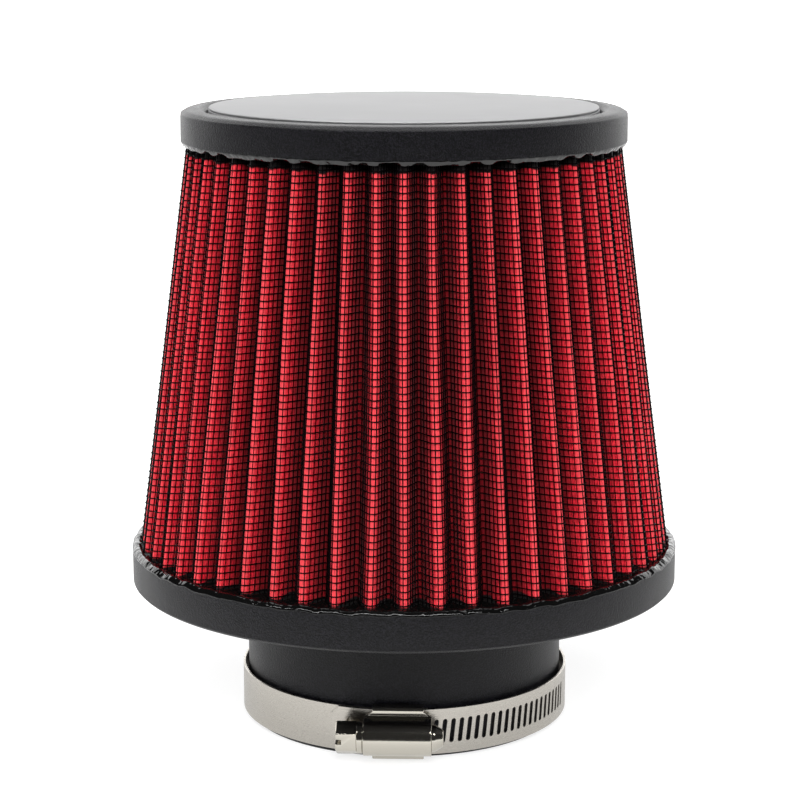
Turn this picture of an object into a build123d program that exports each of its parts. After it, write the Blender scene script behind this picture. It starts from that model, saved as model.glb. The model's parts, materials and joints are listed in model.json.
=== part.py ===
from build123d import *
from math import acos, atan2, cos, degrees, hypot, pi, radians, sin, tan
import os

# Cone air filter: pleated gauze between two wire meshes, cast into a base with a neck
# and a closed top cap, with a worm-drive clamp round the neck.
# Millimetres, neck end on the XY plane, axis along +Z, clamp housing at the front (-Y).

# Pleated pack
pack_foot_radius = 75.0  # crest of the outer mesh in the base
pack_head_radius = 59.2  # the same crest in the top cap
pack_height = 121.1
pleat_depth = 5.5  # crest to valley at the foot
gauze_thickness = 0.7
mesh_thickness = 0.3
layer_gap = 0.1  # between the gauze and each mesh
fold_room = 0.1  # radius left inside a fold at the narrow end
fold_spacing = 3.3  # between neighbouring folds at the narrow end
crest_facets = 3  # outside of a crest
crest_inner_facets = 1
valley_facets = 1
pack_turn = 2.0  # a crest's turn from the front
cast_clearance = 0.25  # between the pack and the channels that hold it

# Base with its neck
neck_bore_radius = 38.0
neck_wall = 6.3
neck_length = 39.3
neck_edge = 1.2
base_floor = 5.7  # under the pack
base_rim_wall = 1.2
base_rim_height = 11.0
base_edge = 0.8
base_shoulder = 1.1

# Top cap and its plate
cap_rim_depth = 5.4  # over the pack's head
cap_rim_wall = 1.55
cap_lip_height = 0.9
cap_web = 2.7  # between the pack and the plate
cap_rim_rise = 1.8
cap_rim_width = 7.1
cap_rim_slope = 2.1
cap_shoulder = 1.8
plate_gap = 0.6
plate_thickness = 2.2

# Clamp band
band_width = 12.7
band_thickness = 0.7
band_bottom = 1.6
band_neck_gap = 0.9
band_layer_gap = 0.1
band_lift_turn = 150.0  # where the overlapping length begins to leave the neck
band_head_turn = 10.0  # inner end, under the housing
band_tail_turn = 23.0  # free end, past the screw head
band_tail_corner = 2.25
slot_pitch = 2.37
slot_height = 6.7
slot_width = 1.25
slot_slant = 6.5
slots_turn = 80.0  # last slot, to the right of the housing
slots_tail_margin = 5.0  # plain length at the free end

# Worm screw and its housing
screw_radius = 3.9
screw_band_gap = 0.15
screw_running_gap = 0.08
screw_end_gap = 0.15
collar_radius = 4.3
collar_length = 1.6
head_flats = 8.0
head_length = 5.6
head_edge = 0.5
driver_width = 1.2
driver_depth = 1.6
tip_radius = 3.6
tip_end_radius = 2.2
tip_length = 3.2
housing_length = 18.2
housing_wall = 0.85
housing_band_gap = 0.2
housing_foot_gap = 0.15
housing_bend = 0.9
skirt_length = 13.8
skirt_corner = 1.6
corner_share = 0.9  # most of a notch that its corner may take

# Levels
floor_level = neck_length + base_floor
pack_foot = floor_level + cast_clearance
pack_head = pack_foot + pack_height
ceiling_level = pack_head + cast_clearance
plate_seat = ceiling_level + cap_web
cap_top = plate_seat + cap_rim_rise
base_rim_top = neck_length + base_rim_height
cap_lip_bottom = ceiling_level - cap_rim_depth

# Pleats: the sheets are offset from one folded middle line
mesh_start = gauze_thickness / 2 + layer_gap
stack_half = mesh_start + mesh_thickness
head_fold_radius = fold_room + stack_half
foot_tip = pack_foot_radius - stack_half
head_tip = pack_head_radius - stack_half
narrowing = head_tip / foot_tip
head_valley = (foot_tip - pleat_depth) * narrowing
fold_width = 2 * (head_fold_radius + stack_half) + fold_spacing
pleat_count = int(2 * pi * head_valley / fold_width)
half_pitch = pi / pleat_count


def pack_outside(level):
    return pack_foot_radius + (pack_head_radius - pack_foot_radius) * (level - pack_foot) / pack_height


def rounding(radius, level, width, height):
    """Corner of a moulded rim, rounded in two facets, from its wall to its top."""
    facets = 2
    turns = [pi / 2 * index / facets for index in range(facets + 1)]
    return [(radius - width * (1 - cos(turn)), level - height * (1 - sin(turn))) for turn in turns]


def fold_corners(centre_radius, turn, radius, spread, facets, outward):
    """Corners of one fold, drawn round its bending circle, in order around the filter."""
    step = 2 * spread / (facets + 1)
    reach = radius / cos(step / 2)
    corners = []
    for index in range(facets + 1):
        lean = step * (index + 0.5) - spread
        heading = turn + lean if outward else turn + pi - lean
        x = centre_radius * cos(turn) + reach * cos(heading)
        y = centre_radius * sin(turn) + reach * sin(heading)
        corners.append((x, y))
    return corners


def pleat_outline(scale, offset):
    """Closed outline of the folded middle line, moved outward by offset, at one level of the cone."""
    bend = head_fold_radius * scale / narrowing
    crest_centre = foot_tip * scale - bend
    valley_centre = (foot_tip - pleat_depth) * scale + bend
    across = valley_centre * sin(half_pitch)
    inward = valley_centre * cos(half_pitch) - crest_centre
    flank_normal = atan2(across, inward) - acos(2 * bend / hypot(across, inward))
    facets = crest_facets if offset > 0 else crest_inner_facets
    spread = flank_normal - half_pitch
    outline = []
    for pleat in range(pleat_count):
        crest = 2 * half_pitch * pleat + radians(pack_turn - 90)
        valley = crest + half_pitch
        outline += fold_corners(crest_centre, crest, bend + offset, flank_normal, facets, True)
        outline += fold_corners(valley_centre, valley, bend - offset, spread, valley_facets, False)
    return outline


def pleated_sheet(outer_offset, inner_offset):
    """One sheet of the pack: flat facets from the foot to the narrower head, closed at both ends."""
    sides = []
    rims = {pack_foot: [], pack_head: []}
    for offset in (outer_offset, inner_offset):
        foot = [(x, y, pack_foot) for x, y in pleat_outline(1.0, offset)]
        head = [(x, y, pack_head) for x, y in pleat_outline(narrowing, offset)]
        for index in range(len(foot)):
            corners = (foot[index - 1], foot[index], head[index], head[index - 1])
            sides.append(Face(Wire.make_polygon(corners)))
        rims[pack_foot].append(Wire.make_polygon(foot))
        rims[pack_head].append(Wire.make_polygon(head))
    ends = [Face(outer, [inner]) for outer, inner in rims.values()]
    with BuildPart() as sheet:
        add(Solid(Shell(sides + ends)))
    return sheet.part


# Base cap: cup for the pack's foot and neck in one moulding
neck_radius = neck_bore_radius + neck_wall
cup_radius = pack_outside(floor_level) + cast_clearance
base_radius = cup_radius + base_rim_wall
rim_inner = pack_outside(base_rim_top) + cast_clearance

with BuildPart() as base_cap:
    with BuildSketch(Plane.XZ):
        with BuildLine():
            Polyline(
                (neck_bore_radius, 0),
                (neck_radius - neck_edge, 0),
                (neck_radius, neck_edge),
                (neck_radius, neck_length),
                (base_radius - base_edge, neck_length),
                (base_radius, neck_length + base_edge),
                *rounding(base_radius, base_rim_top, base_radius - rim_inner, base_shoulder),
                (cup_radius, floor_level),
                (neck_bore_radius, floor_level),
                close=True,
            )
        make_face()
    revolve(axis=Axis.Z)

# Pleated gauze and the meshes on both sides of it
cotton_gauze = pleated_sheet(gauze_thickness / 2, -gauze_thickness / 2)
outer_wire_mesh = pleated_sheet(stack_half, mesh_start)
inner_wire_mesh = pleated_sheet(-mesh_start, -stack_half)

# Top cap: closed lid over the pack's head, with a seat for the plate above
lid_radius = pack_outside(cap_lip_bottom) + cast_clearance
cap_radius = pack_head_radius + cast_clearance + cap_rim_wall
seat_radius = cap_radius - cap_rim_width

with BuildPart() as top_cap:
    with BuildSketch(Plane.XZ):
        with BuildLine():
            Polyline(
                (0, ceiling_level),
                (lid_radius, ceiling_level),
                (lid_radius, cap_lip_bottom),
                (cap_radius, cap_lip_bottom + cap_lip_height),
                *rounding(cap_radius, cap_top, cap_shoulder, cap_shoulder),
                (seat_radius + cap_rim_slope, cap_top),
                (seat_radius, plate_seat),
                (0, plate_seat),
                close=True,
            )
        make_face()
    revolve(axis=Axis.Z)

# Plain plate in the cap
with BuildPart() as top_plate:
    with BuildSketch(Plane.XY.offset(plate_seat)):
        Circle(seat_radius - plate_gap)
    extrude(amount=plate_thickness)

# Clamp band: one strip whose free end overlaps its other end under the screw
band_inside = neck_radius + band_neck_gap
band_lift = (band_thickness + band_layer_gap) / (1 - cos(radians(band_lift_turn - band_head_turn)))
lift_heading = radians(band_lift_turn - 90)
lift_centre = (-band_lift * cos(lift_heading), -band_lift * sin(lift_heading))
band_reach = band_inside + 2 * band_lift + band_thickness
tail_middle = band_inside + band_lift + band_thickness / 2
slot_step = degrees(slot_pitch / tail_middle)
slots_first = degrees(slots_tail_margin / tail_middle) - band_tail_turn
slot_count = int((slots_turn - slots_first) / slot_step)


def slot_plane(index):
    """Plane of one slot, at the middle of the overlapping length, facing outward."""
    heading = radians(slots_first + slot_step * index - 90)
    radial = Vector(cos(heading), sin(heading), 0)
    middle = Vector(*lift_centre, band_bottom + band_width / 2) + radial * tail_middle
    return Plane(middle, x_dir=(-radial.Y, radial.X, 0), z_dir=radial)


with BuildPart() as clamp_band:
    with BuildSketch(Plane.XY.offset(band_bottom)):
        with BuildLine():
            head_start = band_head_turn - 90
            wrap = band_lift_turn - band_head_turn - 360
            tail_start = band_lift_turn - 90
            tail_sweep = -band_lift_turn - band_tail_turn
            head_inside = CenterArc((0, 0), band_inside, head_start, wrap)
            head_outside = CenterArc((0, 0), band_inside + band_thickness, head_start, wrap)
            tail_inside = CenterArc(lift_centre, band_inside + band_lift, tail_start, tail_sweep)
            tail_outside = CenterArc(
                lift_centre, band_inside + band_lift + band_thickness, tail_start, tail_sweep
            )
            Line(head_inside @ 0, head_outside @ 0)
            free_end = Line(tail_inside @ 1, tail_outside @ 1)
        make_face()
    extrude(amount=band_width)
    end_face = clamp_band.faces().filter_by(GeomType.PLANE).filter_by(Axis.Z, reverse=True)
    end_face = end_face.sort_by_distance(free_end @ 0.5 + (0, 0, band_bottom + band_width / 2))[0]
    end_edges = end_face.edges().sort_by(Axis.Z)
    chamfer([end_edges[0], end_edges[-1]], band_tail_corner)
    with BuildSketch(*[slot_plane(index) for index in range(slot_count)]):
        with BuildLine():
            lean = slot_height / 2 * tan(radians(slot_slant))
            Polyline(
                (-slot_width / 2 - lean, -slot_height / 2),
                (slot_width / 2 - lean, -slot_height / 2),
                (slot_width / 2 + lean, slot_height / 2),
                (-slot_width / 2 + lean, slot_height / 2),
                close=True,
            )
        make_face()
    extrude(amount=(band_thickness + band_layer_gap) / 2, both=True, mode=Mode.SUBTRACT)

# Clamp housing: pressed shell over the screw, with skirts over the band's edges
screw_out = band_reach + screw_band_gap + screw_radius
screw_level = band_bottom + band_width / 2
shell_bore = screw_radius + screw_running_gap
shoulder_out = band_reach + housing_band_gap
skirt_half = band_width / 2 + housing_band_gap
skirt_foot = neck_radius + housing_foot_gap


def housing_outline(half_height, shoulder_at, dome_radius):
    """Section across the screw: skirts, shoulders and dome, open towards the neck."""
    low = screw_level - dome_radius
    high = screw_level + dome_radius
    Polyline(
        (-screw_out, low),
        (-shoulder_at, low),
        (-shoulder_at, screw_level - half_height),
        (-skirt_foot, screw_level - half_height),
        (-skirt_foot, screw_level + half_height),
        (-shoulder_at, screw_level + half_height),
        (-shoulder_at, high),
        (-screw_out, high),
    )
    ThreePointArc((-screw_out, low), (-screw_out - dome_radius, screw_level), (-screw_out, high))


with BuildPart() as clamp_housing:
    with BuildSketch(Plane.YZ):
        with BuildLine():
            housing_outline(
                skirt_half + housing_wall, shoulder_out + housing_wall, shell_bore + housing_wall
            )
        make_face()
        with BuildLine():
            housing_outline(skirt_half, shoulder_out, shell_bore)
        make_face(mode=Mode.SUBTRACT)
    extrude(amount=housing_length / 2, both=True)
    outer_bends = clamp_housing.edges().filter_by(Axis.X).group_by(Axis.Z)
    fillet(
        [
            outer_bends[0].sort_by(Axis.Y)[0],
            outer_bends[-1].sort_by(Axis.Y)[0],
        ],
        housing_bend,
    )
    notch_width = (housing_length - skirt_length) / 2
    dome_half = shell_bore + housing_wall
    notch_height = skirt_half + housing_wall - dome_half
    with BuildSketch(Plane.XZ.offset(skirt_foot)) as notches:
        with Locations((0, screw_level)):
            with GridLocations(skirt_length + notch_width, 2 * dome_half + notch_height, 2, 2):
                Rectangle(notch_width, notch_height)
        inner_corners = notches.vertices().filter_by_position(
            Axis.X, -skirt_length / 2 - housing_bend, skirt_length / 2 + housing_bend
        )
        fillet(
            [v for v in inner_corners if abs(v.Y - screw_level) < dome_half + housing_bend],
            min(skirt_corner, corner_share * notch_height, corner_share * notch_width),
        )
    extrude(amount=shoulder_out + housing_wall - skirt_foot, mode=Mode.SUBTRACT)

# Worm screw: plain shank in the housing, hex head to its left and a short tip to its right
head_start_x = -housing_length / 2 - screw_end_gap - collar_length

with BuildPart() as worm_screw:
    with BuildSketch(Plane.YZ.offset(-housing_length / 2 - screw_end_gap)):
        with Locations((-screw_out, screw_level)):
            Circle(screw_radius)
    extrude(amount=housing_length + screw_end_gap)
    with BuildSketch(Plane.YZ.offset(head_start_x)):
        with Locations((-screw_out, screw_level)):
            Circle(collar_radius)
    extrude(amount=collar_length)
    with BuildSketch(Plane.YZ.offset(head_start_x)):
        with Locations((-screw_out, screw_level)):
            RegularPolygon(head_flats / 2, 6, major_radius=False, rotation=30)
    extrude(amount=-head_length)
    chamfer(worm_screw.faces().sort_by(Axis.X)[0].edges(), head_edge)
    with BuildSketch(Plane.YZ.offset(head_start_x - head_length)):
        with Locations((-screw_out, screw_level)):
            Rectangle(2 * head_flats, driver_width)
    extrude(amount=driver_depth, mode=Mode.SUBTRACT)
    with BuildSketch(Plane.YZ.offset(housing_length / 2)):
        with Locations((-screw_out, screw_level)):
            Circle(tip_radius)
    with BuildSketch(Plane.YZ.offset(housing_length / 2 + tip_length)):
        with Locations((-screw_out, screw_level)):
            Circle(tip_end_radius)
    loft()

# Pieces
pieces = {
    "base_cap": base_cap.part,
    "cotton_gauze": cotton_gauze,
    "outer_wire_mesh": outer_wire_mesh,
    "inner_wire_mesh": inner_wire_mesh,
    "top_cap": top_cap.part,
    "top_plate": top_plate.part,
    "clamp_band": clamp_band.part,
    "clamp_housing": clamp_housing.part,
    "worm_screw": worm_screw.part,
}
os.makedirs("parts", exist_ok=True)
for name, piece in pieces.items():
    piece.label = name
    export_step(piece, f"parts/{name}.step")
print("pleats", pleat_count, "slots", slot_count, "plate top", plate_seat + plate_thickness)
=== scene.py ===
import json
import math
import bmesh
import bpy
import numpy as np
from mathutils import Matrix, Vector


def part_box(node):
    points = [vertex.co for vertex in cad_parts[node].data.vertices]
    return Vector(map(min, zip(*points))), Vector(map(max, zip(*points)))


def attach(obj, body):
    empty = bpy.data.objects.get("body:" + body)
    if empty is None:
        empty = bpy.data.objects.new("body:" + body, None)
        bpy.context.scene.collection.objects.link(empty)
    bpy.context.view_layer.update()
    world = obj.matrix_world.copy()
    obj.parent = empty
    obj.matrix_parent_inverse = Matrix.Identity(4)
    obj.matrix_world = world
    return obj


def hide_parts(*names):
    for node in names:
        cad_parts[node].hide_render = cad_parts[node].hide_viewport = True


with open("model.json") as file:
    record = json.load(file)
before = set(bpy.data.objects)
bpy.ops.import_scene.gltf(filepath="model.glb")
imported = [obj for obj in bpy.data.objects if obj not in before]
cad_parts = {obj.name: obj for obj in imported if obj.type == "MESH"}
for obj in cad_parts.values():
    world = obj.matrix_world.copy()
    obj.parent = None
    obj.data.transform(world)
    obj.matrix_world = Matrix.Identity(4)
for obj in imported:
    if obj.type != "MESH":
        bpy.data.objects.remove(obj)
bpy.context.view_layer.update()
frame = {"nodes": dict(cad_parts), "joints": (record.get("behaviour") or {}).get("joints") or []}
scene = bpy.context.scene
mm = 0.001
print("frame loaded:", len(frame["nodes"]), "nodes")

# Node helpers


def feed(tree, node, inputs):
    # inputs by name or number, each a value or the output of another node
    for key, value in inputs.items():
        if isinstance(value, bpy.types.NodeSocket):
            tree.links.new(value, node.inputs[key])
        else:
            node.inputs[key].default_value = value
    return node


def addNode(tree, kind, inputs=None, **settings):
    node = tree.nodes.new(kind)
    for key, value in settings.items():
        setattr(node, key, value)
    return feed(tree, node, inputs or {})


# Camera and studio
studio = {
    "distance": 652 * mm,      # from the filter's axis
    "cameraLevel": 223.5 * mm,
    "cameraTurn": 2.0,         # degrees round to the right
    "pitch": 11.69,            # degrees down
    "focalPixels": 2375,
    "imagePixels": 805,
    "axisPixels": 1.6,         # the axis stands this far right of the middle
    "sensor": 36.0,
    "floorFront": -0.32,       # white sheet's front edge, metres
    "floorBack": 2.0,
    "floorHalf": 3.2,
    "wallHeight": 1.6,
    "wallGlow": 1.7,
    "ambient": 0.03,
    "paperGrey": 0.3,
    "paperGlow": 0.2,          # light of the paper itself
    "paperShine": 0.8,         # as shiny pieces see it
    "shineShadowNear": 0.48,         # painted shadow: the same, dimmed beside the neck
    "shineSpan": (0.05, 0.15),
    "shineShadeSide": 0.4,          # painted shade: share of the shine left at the sides of the sheet
    "sideSpan": (0.2, 0.4),
    "behindSpan": (0.25, 0.6),
    "paperShadeNear": 0.74,         # painted shade: the camera's white dimmed beside the neck, before the lights; the lamps' real shadow fills in
    "whiteSpan": (0.05, 0.14),
}
aimPoint = (0, 0, 0.09)
softboxes = [
    {"name": "leftBox", "place": (-0.95, -0.22, 0.45), "width": 0.4, "height": 0.9, "watts": 11},
    {"name": "rightBox", "place": (0.95, -0.22, 0.45), "width": 0.4, "height": 0.9, "watts": 8},
    {"name": "frontBox", "place": (0.1, -1.2, 0.75), "width": 0.5, "height": 0.4, "watts": 20},
    {"name": "topBox", "place": (-0.1, -0.45, 1.2), "width": 0.7, "height": 0.5, "watts": 6},
    # seen only in reflections
    {"name": "glintStrip", "place": (-0.1, -0.55, 0.8), "width": 1.4, "height": 0.06, "watts": 7,
     "glossy": True},
    {"name": "overhead", "place": (0, 0.45, 1.3), "width": 1.2, "height": 0.8, "watts": 8, "glossy": True,
     "aim": (0, 0.45, 0)},
]


def makeCamera():
    lens = bpy.data.cameras.new("camera")
    lens.sensor_width = studio["sensor"]
    lens.lens = studio["focalPixels"] * studio["sensor"] / studio["imagePixels"]
    lens.shift_x = -studio["axisPixels"] / studio["imagePixels"]
    lens.clip_start = 0.05
    lens.clip_end = 20
    camera = bpy.data.objects.new("camera", lens)
    turn = math.radians(studio["cameraTurn"])
    reach = studio["distance"]
    camera.location = (reach * math.sin(turn), -reach * math.cos(turn), studio["cameraLevel"])
    camera.rotation_euler = (math.radians(90 - studio["pitch"]), 0, turn)
    scene.collection.objects.link(camera)
    scene.camera = camera


def softbox(name, place, width, height, watts, aim=aimPoint, glossy=False):
    lamp = bpy.data.lights.new(name, "AREA")
    lamp.shape = "RECTANGLE"
    lamp.size = width
    lamp.size_y = height
    lamp.energy = watts
    box = bpy.data.objects.new(name, lamp)
    box.location = place
    box.rotation_euler = (Vector(aim) - Vector(place)).to_track_quat("-Z", "Y").to_euler()
    box.visible_camera = False
    box.visible_glossy = glossy
    box.visible_diffuse = not glossy
    scene.collection.objects.link(box)


def makeStudio():
    world = bpy.data.worlds.new("studio")
    scene.world = world
    world.use_nodes = True
    tree = world.node_tree
    white = (1, 1, 1, 1)
    ambient = feed(tree, tree.nodes["Background"], {"Color": white, "Strength": studio["ambient"]})
    paper = addNode(tree, "ShaderNodeBackground", {"Color": white, "Strength": 1.0})
    mix = addNode(tree, "ShaderNodeMixShader", {
        "Fac": addNode(tree, "ShaderNodeLightPath").outputs["Is Camera Ray"],
        1: ambient.outputs["Background"],
        2: paper.outputs["Background"],
    })
    feed(tree, tree.nodes["World Output"], {"Surface": mix.outputs["Shader"]})
    for box in softboxes:
        softbox(**box)
    scene.view_settings.view_transform = "Standard"
    scene.cycles.use_denoising = True


makeCamera()
makeStudio()
print("camera and studio made")

# Mesh helpers


def addPiece(name, points, faces, edges=(), smooth=True):
    mesh = bpy.data.meshes.new(name)
    mesh.from_pydata([tuple(p) for p in points], edges, faces)
    if smooth:
        mesh.shade_smooth()
    piece = bpy.data.objects.new(name, mesh)
    scene.collection.objects.link(piece)
    return piece


def gridFaces(rows, columns, closedRows=False, closedColumns=True):
    faces = []
    for row in range(rows if closedRows else rows - 1):
        low = row * columns
        high = (row + 1) % rows * columns
        for column in range(columns if closedColumns else columns - 1):
            after = (column + 1) % columns
            faces.append((low + column, low + after, high + after, high + column))
    return faces


def tubeFaces(rows, columns):
    # a closed tube with a face at each end
    last = range((rows - 1) * columns, rows * columns)
    return gridFaces(rows, columns) + [tuple(range(columns)), tuple(reversed(last))]


def facesOutward(piece):
    mesh = bmesh.new()
    mesh.from_mesh(piece.data)
    bmesh.ops.recalc_face_normals(mesh, faces=mesh.faces)
    mesh.to_mesh(piece.data)
    mesh.free()


def roundCorners(corners, steps):
    outline = []
    for index, (x, y, radius) in enumerate(corners):
        here = Vector((x, y))
        if radius == 0:
            outline.append((x, y))
            continue
        before = Vector(corners[index - 1][:2])
        after = Vector(corners[(index + 1) % len(corners)][:2])
        start = here + (before - here).normalized() * radius
        end = here + (after - here).normalized() * radius
        for step in range(steps + 1):
            share = step / steps
            point = start * (1 - share) ** 2 + here * 2 * share * (1 - share) + end * share ** 2
            outline.append((point.x, point.y))
    return outline


def spinOutline(name, outline, segments, onAxis=False):
    turns = np.arange(segments) * 2 * math.pi / segments
    rows = outline[1:-1] if onAxis else outline
    points = []
    for radius, level in rows:
        points += [(radius * math.cos(t) * mm, radius * math.sin(t) * mm, level * mm) for t in turns]
    faces = gridFaces(len(rows), segments, closedRows=not onAxis)
    if onAxis:
        last = (len(rows) - 1) * segments
        points += [(0, 0, outline[0][1] * mm), (0, 0, outline[-1][1] * mm)]
        for column in range(segments):
            after = (column + 1) % segments
            faces.append((after, column, len(points) - 2))
            faces.append((last + column, last + after, len(points) - 1))
    piece = addPiece(name, points, faces)
    facesOutward(piece)
    return piece


def sharpFrom(piece, degrees):
    piece.data.shade_smooth()
    piece.data.set_sharp_from_angle(angle=math.radians(degrees))


def applyModifiers(piece):
    graph = bpy.context.evaluated_depsgraph_get()
    made = bpy.data.meshes.new_from_object(
        piece.evaluated_get(graph), preserve_all_data_layers=True, depsgraph=graph)
    piece.modifiers.clear()
    piece.data = made


def softenEdges(piece, width, segments, degrees):
    soft = piece.modifiers.new("edges", "BEVEL")
    soft.width = width * mm
    soft.segments = segments
    soft.limit_method = "ANGLE"
    soft.angle_limit = math.radians(degrees)


def giveUv(piece, values):
    layer = piece.data.uv_layers.new(name="UVMap")
    corner = np.zeros(len(piece.data.loops), np.int32)
    piece.data.loops.foreach_get("vertex_index", corner)
    layer.data.foreach_set("uv", np.asarray(values, np.float32)[corner].ravel())


def settle(piece, material, body, slot, *nodes):
    if material:
        piece.data.materials.append(material)
    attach(piece, body)
    if nodes:
        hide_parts(*nodes)


# Geometry Nodes helpers


def nodeTree(name, sockets):
    tree = bpy.data.node_groups.new(name, "GeometryNodeTree")
    tree.interface.new_socket("Geometry", in_out="INPUT", socket_type="NodeSocketGeometry")
    for label, kind in sockets:
        tree.interface.new_socket(label, in_out="INPUT", socket_type="NodeSocket" + kind)
    tree.interface.new_socket("Geometry", in_out="OUTPUT", socket_type="NodeSocketGeometry")
    return tree, tree.nodes.new("NodeGroupInput").outputs, tree.nodes.new("NodeGroupOutput")


def closeTree(tree, given, result, last):
    realize = addNode(tree, "GeometryNodeRealizeInstances", {"Geometry": last})
    coat = addNode(tree, "GeometryNodeSetMaterial", {
        "Geometry": realize.outputs["Geometry"],
        "Material": given["Material"],
    })
    feed(tree, result, {"Geometry": coat.outputs["Geometry"]})


def runTree(piece, tree, values):
    modifier = piece.modifiers.new(tree.name, "NODES")
    modifier.node_group = tree
    for item in tree.interface.items_tree:
        if item.in_out == "INPUT" and item.name in values:
            modifier[item.identifier] = values[item.name]
    applyModifiers(piece)


def wireTree():
    tree, given, result = nodeTree("wireTubes", [
        ("Wire Radius", "Float"),
        ("Sides", "Int"),
        ("Material", "Material"),
    ])
    line = addNode(tree, "GeometryNodeMeshToCurve", {"Mesh": given["Geometry"]})
    ring = addNode(tree, "GeometryNodeCurvePrimitiveCircle", {
        "Resolution": given["Sides"],
        "Radius": given["Wire Radius"],
    })
    tube = addNode(tree, "GeometryNodeCurveToMesh", {
        "Curve": line.outputs["Curve"],
        "Profile Curve": ring.outputs["Curve"],
        "Fill Caps": True,
    })
    closeTree(tree, given, result, tube.outputs["Mesh"])
    return tree


# Shader groups


def shaderGroup(name, inputs, outputs):
    tree = bpy.data.node_groups.new(name, "ShaderNodeTree")
    for label, kind, value in inputs:
        socket = tree.interface.new_socket(label, in_out="INPUT", socket_type="NodeSocket" + kind)
        if value is not None:
            socket.default_value = value
    for label in outputs:
        tree.interface.new_socket(label, in_out="OUTPUT", socket_type="NodeSocketFloat")
    return tree, tree.nodes.new("NodeGroupInput").outputs, tree.nodes.new("NodeGroupOutput")


def math2(tree, operation, *values):
    inputs = dict(enumerate(values))
    return addNode(tree, "ShaderNodeMath", inputs, operation=operation).outputs["Value"]


def remap(tree, value, low, high, toLow=0.0, toHigh=1.0):
    inputs = {"Value": value, "From Min": low, "From Max": high, "To Min": toLow, "To Max": toHigh}
    return addNode(tree, "ShaderNodeMapRange", inputs, interpolation_type="SMOOTHSTEP").outputs["Result"]


def noiseOf(tree, vector, scale, detail=2.0, roughness=0.5):
    inputs = {"Vector": vector, "Scale": scale, "Detail": detail, "Roughness": roughness}
    return addNode(tree, "ShaderNodeTexNoise", inputs).outputs["Fac"]


def mixColours(tree, factor, first, second):
    first, second = [(*c, 1) if isinstance(c, tuple) else c for c in (first, second)]
    inputs = {"Factor": factor, 6: first, 7: second}
    return addNode(tree, "ShaderNodeMix", inputs, data_type="RGBA").outputs[2]


def grainGroup():
    tree, given, result = shaderGroup(
        "mouldGrain",
        [("Vector", "Vector", None), ("Fine", "Float", 1.0)],
        ["Height", "Cloud"],
    )
    fine = noiseOf(tree, given["Vector"], 2400, 2.0, 0.6)
    feed(tree, result, {
        "Height": math2(tree, "MULTIPLY", fine, given["Fine"]),
        "Cloud": noiseOf(tree, given["Vector"], 45, 3.0),
    })
    return tree


soakFade = 0.5 * mm      # from soaked to dry cloth


def soakGroup():
    tree, given, result = shaderGroup(
        "resinSoak",
        [
            ("Vector", "Vector", None),
            ("Foot Level", "Float", 0.053),
            ("Head Level", "Float", 0.159),
            ("Ragged", "Float", 0.0012),
        ],
        ["Soaked"],
    )
    level = addNode(tree, "ShaderNodeSeparateXYZ", {"Vector": given["Vector"]}).outputs["Z"]
    ragged = math2(tree, "SUBTRACT", noiseOf(tree, given["Vector"], 260, 2.0), 0.5)
    ragged = math2(tree, "MULTIPLY", ragged, given["Ragged"])
    level = math2(tree, "ADD", level, math2(tree, "MULTIPLY", ragged, 2.0))
    ends = []
    for end, wet in (("Foot Level", (1.0, 0.0)), ("Head Level", (0.0, 1.0))):
        above = math2(tree, "ADD", given[end], soakFade)
        ends.append(remap(tree, level, given[end], above, *wet))
    feed(tree, result, {"Soaked": math2(tree, "MAXIMUM", *ends)})
    return tree


def streakGroup():
    tree, given, result = shaderGroup(
        "rollStreaks",
        [("Vector", "Vector", None)],
        ["Streaks", "Smudge"],
    )
    feed(tree, result, {
        "Streaks": noiseOf(tree, given["Vector"], 1.0, 3.0, 0.6),
        "Smudge": noiseOf(tree, given["Vector"], 0.03, 2.0),
    })
    return tree


grain = grainGroup()
soak = soakGroup()
streakMarks = streakGroup()


def newMaterial(name, **constants):
    material = bpy.data.materials.new(name)
    material.use_nodes = True
    tree = material.node_tree
    values = {label.replace("_", " "): value for label, value in constants.items()}
    return material, tree, feed(tree, tree.nodes["Principled BSDF"], values)


def objectVector(tree):
    return addNode(tree, "ShaderNodeTexCoord").outputs["Object"]


def stretched(tree, space, scales):
    where = addNode(tree, "ShaderNodeTexCoord").outputs[space]
    return addNode(tree, "ShaderNodeMapping", {"Vector": where, "Scale": scales}).outputs["Vector"]


def uvVector(tree, across, along):
    return stretched(tree, "UV", (across, along, 1))


def useGroup(tree, group, vector, **inputs):
    return addNode(tree, "ShaderNodeGroup", {"Vector": vector, **inputs}, node_tree=group).outputs


def bumpTo(tree, shader, height, strength, depth):
    bump = addNode(tree, "ShaderNodeBump", {"Height": height, "Strength": strength, "Distance": depth})
    feed(tree, shader, {"Normal": bump.outputs["Normal"]})


# darkest and lightest colour, range of the mark that sets the roughness, roughness
finishes = {
    "urethane": ((0.0006, 0.0006, 0.0008), (0.0075, 0.0072, 0.0095), (0.3, 0.7), (0.36, 0.42)),
    "resin": ((0.001, 0.001, 0.001), (0.003, 0.003, 0.003), (0.3, 0.7), (0.06, 0.14)),
    "wire": ((0.0012, 0.001, 0.0012), (0.003, 0.0025, 0.003), (0.3, 0.7), (0.18, 0.3)),
    "plate": ((0.37, 0.37, 0.375), (0.42, 0.42, 0.425), (0.3, 0.7), (0.46, 0.49)),
    "band": ((0.53, 0.50, 0.45), (0.60, 0.57, 0.52), (0.25, 0.75), (0.22, 0.36)),
    "polished": ((0.56, 0.53, 0.465), (0.64, 0.61, 0.54), (0.3, 0.7), (0.07, 0.16)),
}


def paint(tree, shader, finish, colourMark, roughMark):
    dark, light, span, roughness = finishes[finish]
    feed(tree, shader, {
        "Base Color": mixColours(tree, colourMark, dark, light),
        "Roughness": remap(tree, roughMark, *span, *roughness),
    })


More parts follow.
